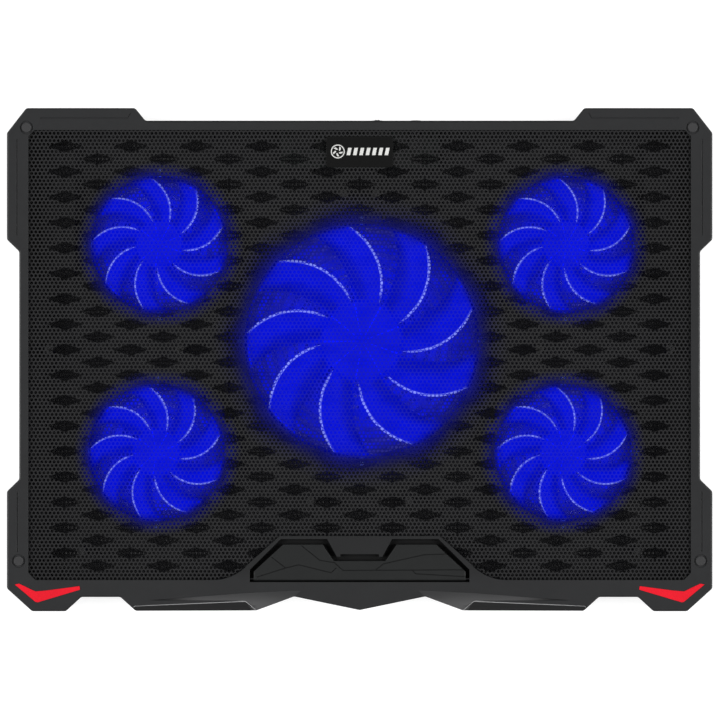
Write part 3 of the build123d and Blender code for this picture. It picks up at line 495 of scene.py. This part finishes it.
# The front facets, told by their slope, and how their painted highlight, a paler grey, comes and
# goes along them, in mm
FACET_HIGHLIGHT_GREY = (0.072, 0.072, 0.073, 1)
FACET_SLOPE = (("Y", -0.10, -0.14), ("Y", -0.22, -0.18), ("Z", 0.95, 0.97))
FACET_INNER, FACET_OUTER = (40, 62, 0.7, 1.0), (114, 88, 0.0, 1.0)
FACET_FORWARD = (-132, -139, 0.40, 1.0)


def frame_plastic_with_painted_light():
    """The frame's dark plastic, with painted shade in the island, the sunk panels, the pocket and
    along the rear edge, and a painted highlight in paler grey on the sloping facets of the front
    edge.
    """
    made, g, shader = moulded("frame_plastic", (0.0138, 0.0142, 0.0150, 1), 0.46, 0.30)
    under = shader.inputs["Base Color"].links[0].from_socket
    place = g.node("SeparateXYZ", {0: place_of(g)}).outputs
    axes = {"across": g.math("ABSOLUTE", place["X"]), "back": place["Y"], "up": place["Z"]}
    dark = {}
    for name, (most, limits) in SHADE_PLACES.items():
        mask = most
        for axis, start, end in limits:
            mask = g.math("MULTIPLY", g.along(axes[axis], start, end), mask)
        dark[name] = mask
    # Painted shade: the frame darker in the island, the sunk panels, the pocket and along the rear
    # edge
    deep = g.math("MAXIMUM", g.math("MAXIMUM", dark["island"], dark["sunk"]),
                  g.math("MAXIMUM", dark["pocket"], dark["rear"]))
    under = g.mix(deep, under, SHADE_BLACK)
    rough = shader.inputs["Roughness"].links[0].from_socket
    g.feed(shader.inputs["Roughness"], g.blend(dark["pocket"], rough, POCKET_ROUGHNESS))
    # Painted highlight: the front facets paler by their slope and place
    facing = g.node("SeparateXYZ", {0: g.node("NewGeometry").outputs["True Normal"]}).outputs
    share = g.along(axes["across"], *FACET_INNER)
    share = g.math("MULTIPLY", share, g.along(axes["across"], *FACET_OUTER))
    share = g.math("MULTIPLY", share, g.along(axes["back"], *FACET_FORWARD))
    for axis, start, end in FACET_SLOPE:
        share = g.math("MULTIPLY", share, g.ramp(facing[axis], start, end))
    g.feed(shader.inputs["Base Color"], g.mix(share, under, FACET_HIGHLIGHT_GREY))
    return made


STOP_FACE_Z, STOP_LINE_Z = 27.35, 27.15          # painted shade darkens the stop between these heights, in mm


def stop_plastic_with_painted_shade():
    """The stop's plastic, with painted shade down its sides and in its styling lines."""
    made, g, shader = moulded("stop_plastic", (0.0092, 0.0100, 0.0100, 1), 0.48, 0.26)
    under = shader.inputs["Base Color"].links[0].from_socket
    height = g.node("SeparateXYZ", {0: place_of(g)}).outputs["Z"]
    # Painted shade: the stop darker below its top face
    deep = g.along(height, STOP_FACE_Z, STOP_LINE_Z, 0.0, 0.92)
    g.feed(shader.inputs["Base Color"], g.mix(deep, under, SHADE_BLACK))
    return made


FOOTPRINT = (186, 127)       # half the pad's width and depth, less its hidden edge, in mm
FOOTPRINT_BLUR = 8
PAPER_GLOW, PAPER_BLUE = 0.85, 0.5


def floor_paper():
    """A light table: the paper glows evenly, and under the pad it only catches the lamps' blue."""
    made, g, shader = new_material("backdrop_paper")
    at = place_of(g)
    fibre = g.noise(at, 240, 4.0)
    g.feed(shader.inputs["Base Color"],
           g.mix(fibre, (0.30, 0.30, 0.302, 1), (0.33, 0.33, 0.332, 1)))
    half_x, half_y = FOOTPRINT
    away = g.vector("ABSOLUTE", at).outputs[0]
    away = g.vector("SUBTRACT", away, (half_x * MM, half_y * MM, 0)).outputs[0]
    away = g.vector("LENGTH", g.vector("MAXIMUM", away, (0, 0, 0)).outputs[0]).outputs["Value"]
    clear = g.along(away, 0, FOOTPRINT_BLUR)
    under = g.math("MULTIPLY", wash(g, at), PAPER_BLUE)
    g.feed(shader.inputs["Emission Strength"], g.blend(clear, under, PAPER_GLOW))
    g.feed(shader.inputs["Emission Color"], g.mix(clear, BLUE, (1, 1, 1, 1)))
    shader.inputs["Roughness"].default_value = 0.9
    shader.inputs["Specular IOR Level"].default_value = 0.1
    return made


FRAME_PLASTIC = frame_plastic_with_painted_light()
PIN_DARK = metal("pin_dark", (0.04, 0.04, 0.042, 1), 0.4, (12, 1, 1))
STOP_PLASTIC = stop_plastic_with_painted_shade()
BASE_PLASTIC = lit_inside("base_plastic", (0.011, 0.011, 0.012, 1), 1.0, inner_only=True)
FAN_PLASTIC = lit_inside("fan_plastic", (0.006, 0.006, 0.007, 1), 0.75)
LEG_PLASTIC = moulded("leg_plastic", (0.014, 0.014, 0.015, 1), 0.5, 0.4)[0]
CONTROL_PLASTIC = moulded("control_plastic", (0.022, 0.022, 0.024, 1), 0.4, 0.45)[0]
BADGE_PLASTIC = moulded("badge_plastic", (0.0035, 0.0035, 0.0035, 1), 0.36, 0.12, 1.2, 0.004)[0]
BADGE_PRINT = moulded("badge_print", (0.62, 0.62, 0.60, 1), 0.45, 0.5, 0.6, 0.004, 1.1)[0]
# Pale grey for the painted highlight along the front lip
LIP_HIGHLIGHT = moulded("accent_silver", (0.36, 0.36, 0.365, 1), 0.35, 0.6, 0.5, 0.004, 1.1)[0]
RED = moulded("red_plastic", (0.66, 0.008, 0.020, 1), 0.42, 0.15, 0.5, 0.008, 1.15)[0]
RUBBER = moulded("rubber", (0.014, 0.014, 0.014, 1), 0.78, 0.3, 0.8, 0.05, 1.8)[0]
PAD_RUBBER = moulded("pad_rubber", (0.030, 0.030, 0.031, 1), 0.65, 0.3, 0.6, 0.03, 1.3)[0]
SCREW_STEEL = metal("screw_steel", (0.10, 0.10, 0.105, 1), 0.34)
PIN_STEEL = metal("pin_steel", (0.50, 0.50, 0.51, 1), 0.25, (12, 1, 1))
USB_STEEL = metal("usb_steel", (0.045, 0.045, 0.047, 1), 0.45, (1, 10, 1))
GOLD = metal("contact_gold", (0.72, 0.50, 0.20, 1), 0.25, (1, 10, 1))
USB_PLASTIC = moulded("usb_plastic", (0.012, 0.012, 0.013, 1), 0.45, 0.4, 0.5, 0.01, 1.3)[0]
BRASS = metal("bearing_brass", (0.52, 0.36, 0.16, 1), 0.35)
FERRITE = moulded("magnet_ferrite", (0.030, 0.028, 0.028, 1), 0.6, 0.5, 0.3, 0.03)[0]
LEAD_PVC = moulded("lead_pvc", (0.010, 0.010, 0.011, 1), 0.45, 0.4, 0.9, 0.02)[0]
STATOR = windings()
BOARD = circuit_board()
LAMPS = lamp_light()
SHEET_PAINT = powder_coat_and_painted_glow()


def paint(material, *names):
    for name in names:
        mesh = NODES[name].data
        mesh.materials.clear()
        mesh.materials.append(material)


paint(FRAME_PLASTIC, "top_frame")
paint(SHEET_PAINT, "mesh_panel")
paint(BADGE_PLASTIC, "badge")
paint(RED, "trim_left", "trim_right")
paint(PAD_RUBBER, "corner_pads")
paint(BASE_PLASTIC, "base_cover")
paint(RUBBER, "rubber_feet", "leg_tip_left", "leg_tip_right")
paint(SCREW_STEEL, "case_screws", "fan_screws")
paint(STOP_PLASTIC, "stop_plate")
paint(PIN_DARK, "stop_pin_left", "stop_pin_right")
paint(PIN_STEEL, "leg_pin_left", "leg_pin_right")
paint(LEG_PLASTIC, "leg_left", "leg_right")
paint(LAMPS, "fan_lamps")
paint(LEAD_PVC, "fan_leads")
paint(BOARD, "control_board")
paint(USB_STEEL, "usb_socket_left", "usb_socket_right")
paint(USB_PLASTIC, "usb_cores")
paint(CONTROL_PLASTIC, "speed_wheel", "speed_control", "lamp_button", "button_switch")
for fan_name, fan_sizes in FANS.items():
    paint(FAN_PLASTIC, f"fan_{fan_name}_frame")
    paint(lit_rotor(fan_name, fan_sizes), f"fan_{fan_name}_rotor")
    paint(FERRITE, f"fan_{fan_name}_magnet")
    paint(PIN_STEEL, f"fan_{fan_name}_shaft")
    paint(BRASS, f"fan_{fan_name}_bearing")
    paint(STATOR, f"fan_{fan_name}_stator")


# ---------------------------------------------------------------- meshes

def mesh_object(name, points, faces, material):
    """Object from points in mm and a list of faces, or an array of quads."""
    mesh = bpy.data.meshes.new(name)
    points = np.asarray(points, np.float32) * MM
    if isinstance(faces, np.ndarray):
        count = len(faces)
        mesh.vertices.add(len(points))
        mesh.vertices.foreach_set("co", points.ravel())
        mesh.loops.add(4 * count)
        mesh.loops.foreach_set("vertex_index", faces.ravel().astype(np.int32))
        mesh.polygons.add(count)
        mesh.polygons.foreach_set("loop_start", np.arange(0, 4 * count, 4, dtype=np.int32))
        mesh.polygons.foreach_set("use_smooth", np.zeros(count, bool))
        mesh.update(calc_edges=True)
        mesh.validate()
    else:
        mesh.from_pydata(points.tolist(), [], faces)
        mesh.update()
    made = bpy.data.objects.new(name, mesh)
    bpy.context.scene.collection.objects.link(made)
    mesh.materials.append(material)
    return made


def add_piece(name, points, faces, material, body, slot, replaces=()):
    made = mesh_object(name, points, faces, material)
    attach(made, body)
    if replaces:
        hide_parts(*replaces)
    return made


# Perforated sheet: hexagonal cells, each with its own hole, in rows along X
PITCH, ROW = 2.31, 2.07
HOLE_SHARE = 0.70            # size of a hole against its cell
SHEET_TOP, SHEET_THICK = 26.2, 0.8
SHEET_X, SHEET_BACK, SHEET_FRONT = 189.0, 131.4, -126.0
CORNER_CUT = 3.6
ISLAND_Y = [-127.0, -124.9, -121.5, -115.5, -99.9]
ISLAND_X = [83.0, 81.9, 70.0, 62.7, 45.3]
DIMPLE_STEP_X, DIMPLE_STEP_Y, DIMPLE_Y = 18.56, 7.21, 121.0
DIMPLE_HALF_X, DIMPLE_HALF_Y, DIMPLE_DEPTH = 11.6, 3.8, 1.15
DIMPLE_ROUND = 0.22          # how much of a diamond's slope is rounded off, from its rim in
DIMPLE_ROWS = 32
DIMPLE_SETS = ((1, 0, 9), (0, 1, 8))     # two sets of diamonds: odd column, odd row, last column
LATTICE_ROWS, LATTICE_COLUMNS = 70, 90   # enough lattice places each way to cover the sheet
BAKE_SCALE, BAKE_EDGE = 1.01, 0.004
TILE_COLUMNS, TILE_ROWS = 4, 2


def dimple_depth(x, y):
    """How far the pressed diamonds take the sheet down, in mm."""
    across, down = x / DIMPLE_STEP_X, (y - DIMPLE_Y) / DIMPLE_STEP_Y
    depth = np.zeros_like(x)
    for odd_x, odd_y, most in DIMPLE_SETS:
        near_x = np.clip(2 * np.round((across - odd_x) / 2) + odd_x, -most, most)
        near_y = np.clip(2 * np.round((down + odd_y) / 2) - odd_y, -DIMPLE_ROWS - odd_y, -odd_y)
        share = (1 - np.abs(across - near_x) * DIMPLE_STEP_X / DIMPLE_HALF_X
                 - np.abs(down - near_y) * DIMPLE_STEP_Y / DIMPLE_HALF_Y)
        share = np.clip(share, 0, 1)
        rounded = share ** 2 / (2 * DIMPLE_ROUND)
        shape = np.where(share < DIMPLE_ROUND, rounded, share - DIMPLE_ROUND / 2)
        depth = np.maximum(depth, DIMPLE_DEPTH * shape)
    return depth


def holes_in_tile(column, row):
    """Lattice places of the holes whose centres fall in one tile of the sheet."""
    rows = np.arange(-LATTICE_ROWS, LATTICE_ROWS + 1)
    columns = np.arange(-LATTICE_COLUMNS, LATTICE_COLUMNS + 1)
    at_x, at_y = np.meshgrid(columns * 2, rows * 3)
    at_x = at_x + np.abs(rows[:, None]) % 2
    x, y = at_x * PITCH / 2, at_y * ROW / 3
    keep = (np.abs(x) < SHEET_X) & (y < SHEET_BACK) & (y > SHEET_FRONT)
    keep &= np.abs(x) + y < SHEET_X + SHEET_BACK - CORNER_CUT
    keep &= np.abs(x) - y < SHEET_X - SHEET_FRONT - CORNER_CUT
    keep &= (np.abs(x) > np.interp(y, ISLAND_Y, ISLAND_X)) | (y > ISLAND_Y[-1])
    width, depth = 2 * SHEET_X / TILE_COLUMNS, (SHEET_BACK - SHEET_FRONT) / TILE_ROWS
    keep &= np.clip((x + SHEET_X) // width, 0, TILE_COLUMNS - 1) == column
    keep &= np.clip((y - SHEET_FRONT) // depth, 0, TILE_ROWS - 1) == row
    return at_x[keep], at_y[keep]


def make_tile(column, row):
    """One tile of the sheet: top, underside, the walls of its holes and its outer sides."""
    at_x, at_y = holes_in_tile(column, row)
    corners = np.array([(1, 1), (0, 2), (-1, 1), (-1, -1), (0, -2), (1, -1)])
    outer = np.stack([at_x[:, None] + corners[:, 0],
                      at_y[:, None] + corners[:, 1]], -1).reshape(-1, 2)
    shared, index = np.unique(outer, axis=0, return_inverse=True)
    index = index.reshape(-1, 6)
    inner = np.stack([at_x[:, None] + HOLE_SHARE * corners[:, 0],
                      at_y[:, None] + HOLE_SHARE * corners[:, 1]], -1).reshape(-1, 2)
    plan = np.concatenate([shared, inner]) * (PITCH / 2, ROW / 3)
    top_z = SHEET_TOP - dimple_depth(plan[:, 0], plan[:, 1])
    points = np.concatenate([
        np.column_stack([plan, top_z]), np.column_stack([plan, top_z - SHEET_THICK])])
    below = len(plan)
    inside = len(shared) + np.arange(len(inner)).reshape(-1, 6)
    next_index, next_inside = np.roll(index, -1, 1), np.roll(inside, -1, 1)
    top = np.stack([index, next_index, next_inside, inside], -1).reshape(-1, 4)
    under = top[:, ::-1] + below
    walls = np.stack([inside, next_inside, next_inside + below, inside + below], -1).reshape(-1, 4)
    a, b = index.ravel(), next_index.ravel()
    there, back = a * below + b, b * below + a
    rim = ~np.isin(there, back)
    a, b = a[rim], b[rim]
    sides = np.stack([b, a, a + below, b + below], -1)
    faces = np.concatenate([top, under, walls, sides])
    name = f"mesh_tile_{row + 1}{column + 1}"
    made = add_piece(name, points, faces, SHEET_PAINT, "case", "mesh_paint", ["mesh_panel"])
    # The tile's plan is its bake layout too
    layer = made.data.uv_layers.new(name="OFBake")
    low = points[:, :2].min(0)
    size = (points[:, :2].max(0) - low).max() * BAKE_SCALE
    flat = (points[faces.ravel()][:, :2] - low) / size + BAKE_EDGE
    layer.data.foreach_set("uv", flat.astype(np.float32).ravel())


for tile_row in range(TILE_ROWS):
    for tile_column in range(TILE_COLUMNS):
        make_tile(tile_column, tile_row)


BAR_SECTION = [(-0.5, 0.0), (-0.38, 0.38), (0.0, 0.5), (0.38, 0.38), (0.5, 0.0),
               (0.38, -0.5), (-0.38, -0.5)]
TAPER_STEPS, TAPER_END = 3, 0.35


def tube(path, width, height):
    """Points and faces of a closed, rounded bar along a path in mm, with its ends drawn in."""
    path = np.asarray(path, float)
    run = np.gradient(path[:, :2], axis=0)
    run /= np.linalg.norm(run, axis=1)[:, None]
    side = np.column_stack([-run[:, 1], run[:, 0]])
    count = len(path)
    from_end = np.minimum(np.arange(count), np.arange(count)[::-1])
    taper = np.clip(from_end / TAPER_STEPS, TAPER_END, 1)
    points = []
    for step in range(count):
        for out, up in BAR_SECTION:
            x, y = path[step, :2] + side[step] * out * width * taper[step]
            points.append((x, y, path[step, 2] + up * height * taper[step]))
    n = len(BAR_SECTION)
    faces = [tuple(range(n)), tuple(range((count - 1) * n, count * n))[::-1]]
    for step in range(count - 1):
        for k in range(n):
            a, b = step * n + k, step * n + (k + 1) % n
            faces.append((b, a, a + n, b + n))
    return points, faces


def joined(parts):
    """Several sets of points and faces as one."""
    points, faces = [], []
    for more_points, more_faces in parts:
        start = len(points)
        points += list(more_points)
        faces += [tuple(start + i for i in face) for face in more_faces]
    return points, faces


EDGE_STEPS = 26
EDGE_SHORT = 1.014           # the rotor's radius against the edge's end
EDGE_SINK = 0.15             # how deep the edge's middle lies in the blade, in mm
EDGE_WIDTH_BIG, EDGE_WIDTH_SMALL, EDGE_HEIGHT = 1.5, 0.9, 0.7


def upper_edge(fan, turn):
    """The line of a blade's upper edge, from the hub out, as the CAD's blade sections give it."""
    x, y, radius, hub = fan
    line = []
    for reach in np.linspace(hub, radius / EDGE_SHORT, EDGE_STEPS):
        share = (reach - hub) / (radius - hub)
        lead = BLADE_TURN + BLADE_SWEEP * share * (1 - BLADE_CURL + BLADE_CURL * share)
        half = (BLADE_ARC_HUB + (BLADE_ARC_TIP - BLADE_ARC_HUB) * share) / 2
        middle = math.radians(lead + half + turn)
        back = reach * math.sin(math.radians(half))
        line.append((
            x + reach * math.cos(middle) + back * math.sin(middle),
            y + reach * math.sin(middle) - back * math.cos(middle),
            BLADE_MID_Z + BLADE_RISE * (1 - BLADE_NARROWING * share) / 2 - EDGE_SINK))
    return line


# Painted light: glowing bars laid along each blade's upper edge, for the light that comes out there
for fan_name, fan_sizes in FANS.items():
    edge_width = EDGE_WIDTH_BIG if fan_sizes[2] > BIG_ROTOR_R else EDGE_WIDTH_SMALL
    bars = [tube(upper_edge(fan_sizes, 360 / BLADES * k), edge_width, EDGE_HEIGHT)
            for k in range(BLADES)]
    edge = add_piece(f"fan_{fan_name}_blade_edge_glow", *joined(bars), lit_edge(fan_name, fan_sizes),
                     f"fan_{fan_name}_spinner", "rotor_edge")
    for polygon in edge.data.polygons:
        polygon.use_smooth = True


def plate(outline, low, high):
    """Closed prism on a counter-clockwise outline in mm."""
    n = len(outline)
    points = [(x, y, low) for x, y in outline] + [(x, y, high) for x, y in outline]
    faces = [tuple(range(n))[::-1], tuple(range(n, 2 * n))]
    faces += [(k, (k + 1) % n, n + (k + 1) % n, n + k) for k in range(n)]
    return points, faces


def ring(x, y, inner, outer, low, high, steps=48):
    """Closed flat ring."""
    points, faces = [], []
    for step in range(steps):
        c, s = math.cos(math.tau * step / steps), math.sin(math.tau * step / steps)
        for radius, z in ((outer, low), (outer, high), (inner, high), (inner, low)):
            points.append((x + radius * c, y + radius * s, z))
    for step in range(steps):
        a, b = 4 * step, 4 * ((step + 1) % steps)
        faces += [(a + k, b + k, b + (k + 1) % 4, a + (k + 1) % 4) for k in range(4)]
    return points, faces


# Generic badge mark: a small fan in a ring, and a row of slanted airflow bars
BADGE_TOP, PRINT = 27.1, 0.06
MARK_X, MARK_Y = -12.4, 118.0
MARK_RING_IN, MARK_RING_OUT = 3.35, 3.95
MARK_BLADES = 5
# Outline of one of its blades: reach in mm, turn in degrees
MARK_BLADE_LINE = ((0.95, 10), (1.8, 28), (2.8, 50), (2.95, 72), (2.05, 66), (1.2, 58))
MARK_BARS = np.linspace(-7.4, 14.1, 7)
MARK_BAR_WIDE, MARK_BAR_TALL, MARK_BAR_LEAN = 2.0, 4.2, 0.9


def mark_blade(turn):
    outline = []
    for reach, lead in MARK_BLADE_LINE:
        angle = math.radians(lead + turn)
        outline.append((MARK_X + reach * math.cos(angle), MARK_Y + reach * math.sin(angle)))
    return plate(outline, BADGE_TOP, BADGE_TOP + PRINT)


def mark_bar(x):
    low, high = MARK_Y - MARK_BAR_TALL / 2, MARK_Y + MARK_BAR_TALL / 2
    outline = [(x, low), (x + MARK_BAR_WIDE, low),
               (x + MARK_BAR_WIDE + MARK_BAR_LEAN, high), (x + MARK_BAR_LEAN, high)]
    return plate(outline, BADGE_TOP, BADGE_TOP + PRINT)


mark = [ring(MARK_X, MARK_Y, MARK_RING_IN, MARK_RING_OUT, BADGE_TOP, BADGE_TOP + PRINT)]
mark += [mark_blade(turn) for turn in range(0, 360, 360 // MARK_BLADES)]
mark += [mark_bar(x) for x in MARK_BARS]
add_piece("badge_mark", *joined(mark), BADGE_PRINT, "case", "badge_print")

# Pale grey bars along the sunk panels of the front lip: a painted highlight on their edges
LIP_LINE = [(-128.2, -140.4), (-127.6, -139.75), (-110.0, -138.9), (-90.0, -137.95),
            (-66.5, -136.95), (-64.9, -137.0), (-63.6, -137.9), (-58.9, -141.9)]
LIP_Z, LIP_LINE_WIDE, LIP_LINE_TALL = 26.75, 0.75, 0.8


def mirrored(path):
    return [(-x, y) for x, y in path]


for side_name, lip_line in (("left", LIP_LINE), ("right", mirrored(LIP_LINE))):
    bar = tube([(x, y, LIP_Z) for x, y in lip_line], LIP_LINE_WIDE, LIP_LINE_TALL)
    add_piece(f"lip_line_{side_name}", *bar, LIP_HIGHLIGHT, "case", "accent_silver")

# Contacts on the tongues of the sockets: four in each
CONTACT_STEP, CONTACT_WIDE, CONTACT_LONG = 2.3, 1.0, 6.5
CONTACT_BACK = 1.9           # from the socket's mouth to the contacts' ends, in mm
CONTACT_LOW, CONTACT_HIGH = -0.04, 0.10  # their underside and top against the socket's middle
contacts = []
for node in ("usb_socket_left", "usb_socket_right"):
    low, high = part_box(node)
    centre = (low.x + high.x) / 2 / MM
    out_y, mid_z = high.y / MM - CONTACT_BACK, (low.z + high.z) / 2 / MM
    for k in (-1.5, -0.5, 0.5, 1.5):
        left = centre + CONTACT_STEP * k - CONTACT_WIDE / 2
        right, in_y = left + CONTACT_WIDE, out_y - CONTACT_LONG
        corners = [(left, in_y), (right, in_y), (right, out_y), (left, out_y)]
        contacts.append(plate(corners, mid_z + CONTACT_LOW, mid_z + CONTACT_HIGH))
add_piece("usb_contacts", *joined(contacts), GOLD, "case", "usb_steel")


# ---------------------------------------------------------------- studio

FLOOR_HALF = 6.0             # metres
FLOOR_CELLS = 8
steps = np.linspace(-FLOOR_HALF, FLOOR_HALF, FLOOR_CELLS + 1) / MM
floor_points = [(x, y, 0) for y in steps for x in steps]
floor_faces = []
for floor_row in range(FLOOR_CELLS):
    for floor_column in range(FLOOR_CELLS):
        first = (FLOOR_CELLS + 1) * floor_row + floor_column
        floor_faces.append((first, first + 1, first + FLOOR_CELLS + 2, first + FLOOR_CELLS + 1))
mesh_object("floor", floor_points, floor_faces, floor_paper())

# Lights: power, size and height in metres, and how far out the side ones stand
OVERHEAD, OVERHEAD_SIZE, OVERHEAD_UP = 5, 1.3, 3.2
SIDES, SIDES_SIZE, SIDES_UP, SIDES_OUT = 255, 3.0, 3.3, 4.0
SURROUND = 0.08              # strength of the surroundings, but for what the camera sees of them


def soft_light(name, size, power, location):
    """Square area light facing the middle of the case's underside."""
    data = bpy.data.lights.new(name, "AREA")
    data.shape = "SQUARE"
    data.size = size
    data.energy = power
    made = bpy.data.objects.new(name, data)
    bpy.context.scene.collection.objects.link(made)
    made.location = location
    made.rotation_mode = "QUATERNION"
    made.rotation_quaternion = made.location.to_track_quat("Z", "Y")


soft_light("overhead", OVERHEAD_SIZE, OVERHEAD, (0, 0, OVERHEAD_UP))
for side in (-1, 1):
    soft_light(f"side_{side + 2}", SIDES_SIZE, SIDES, (SIDES_OUT * side, 0, SIDES_UP))

world = bpy.data.worlds.new("studio")
world.use_nodes = True
background = world.node_tree.nodes["Background"]
background.inputs["Color"].default_value = (0.95, 0.96, 1.0, 1)
seen = Graph(world.node_tree)
straight = seen.node("LightPath").outputs["Is Camera Ray"]
seen.feed(background.inputs["Strength"], seen.ramp(straight, 0, 1, SURROUND, 1.0, "LINEAR"))
scene = bpy.context.scene
scene.world = world
scene.view_settings.view_transform = "Standard"

VIEW_WIDTH = 0.40805         # metres seen across the picture at the top of the frame
CAMERA_UP = 2.5
FRAME_TOP = 0.0276
SENSOR = 36
camera_data = bpy.data.cameras.new("camera")
camera_data.sensor_width = SENSOR
camera_data.lens = SENSOR * CAMERA_UP / VIEW_WIDTH
camera = bpy.data.objects.new("camera", camera_data)
scene.collection.objects.link(camera)
camera.location = (0.0002, -0.0002, CAMERA_UP + FRAME_TOP)
scene.camera = camera
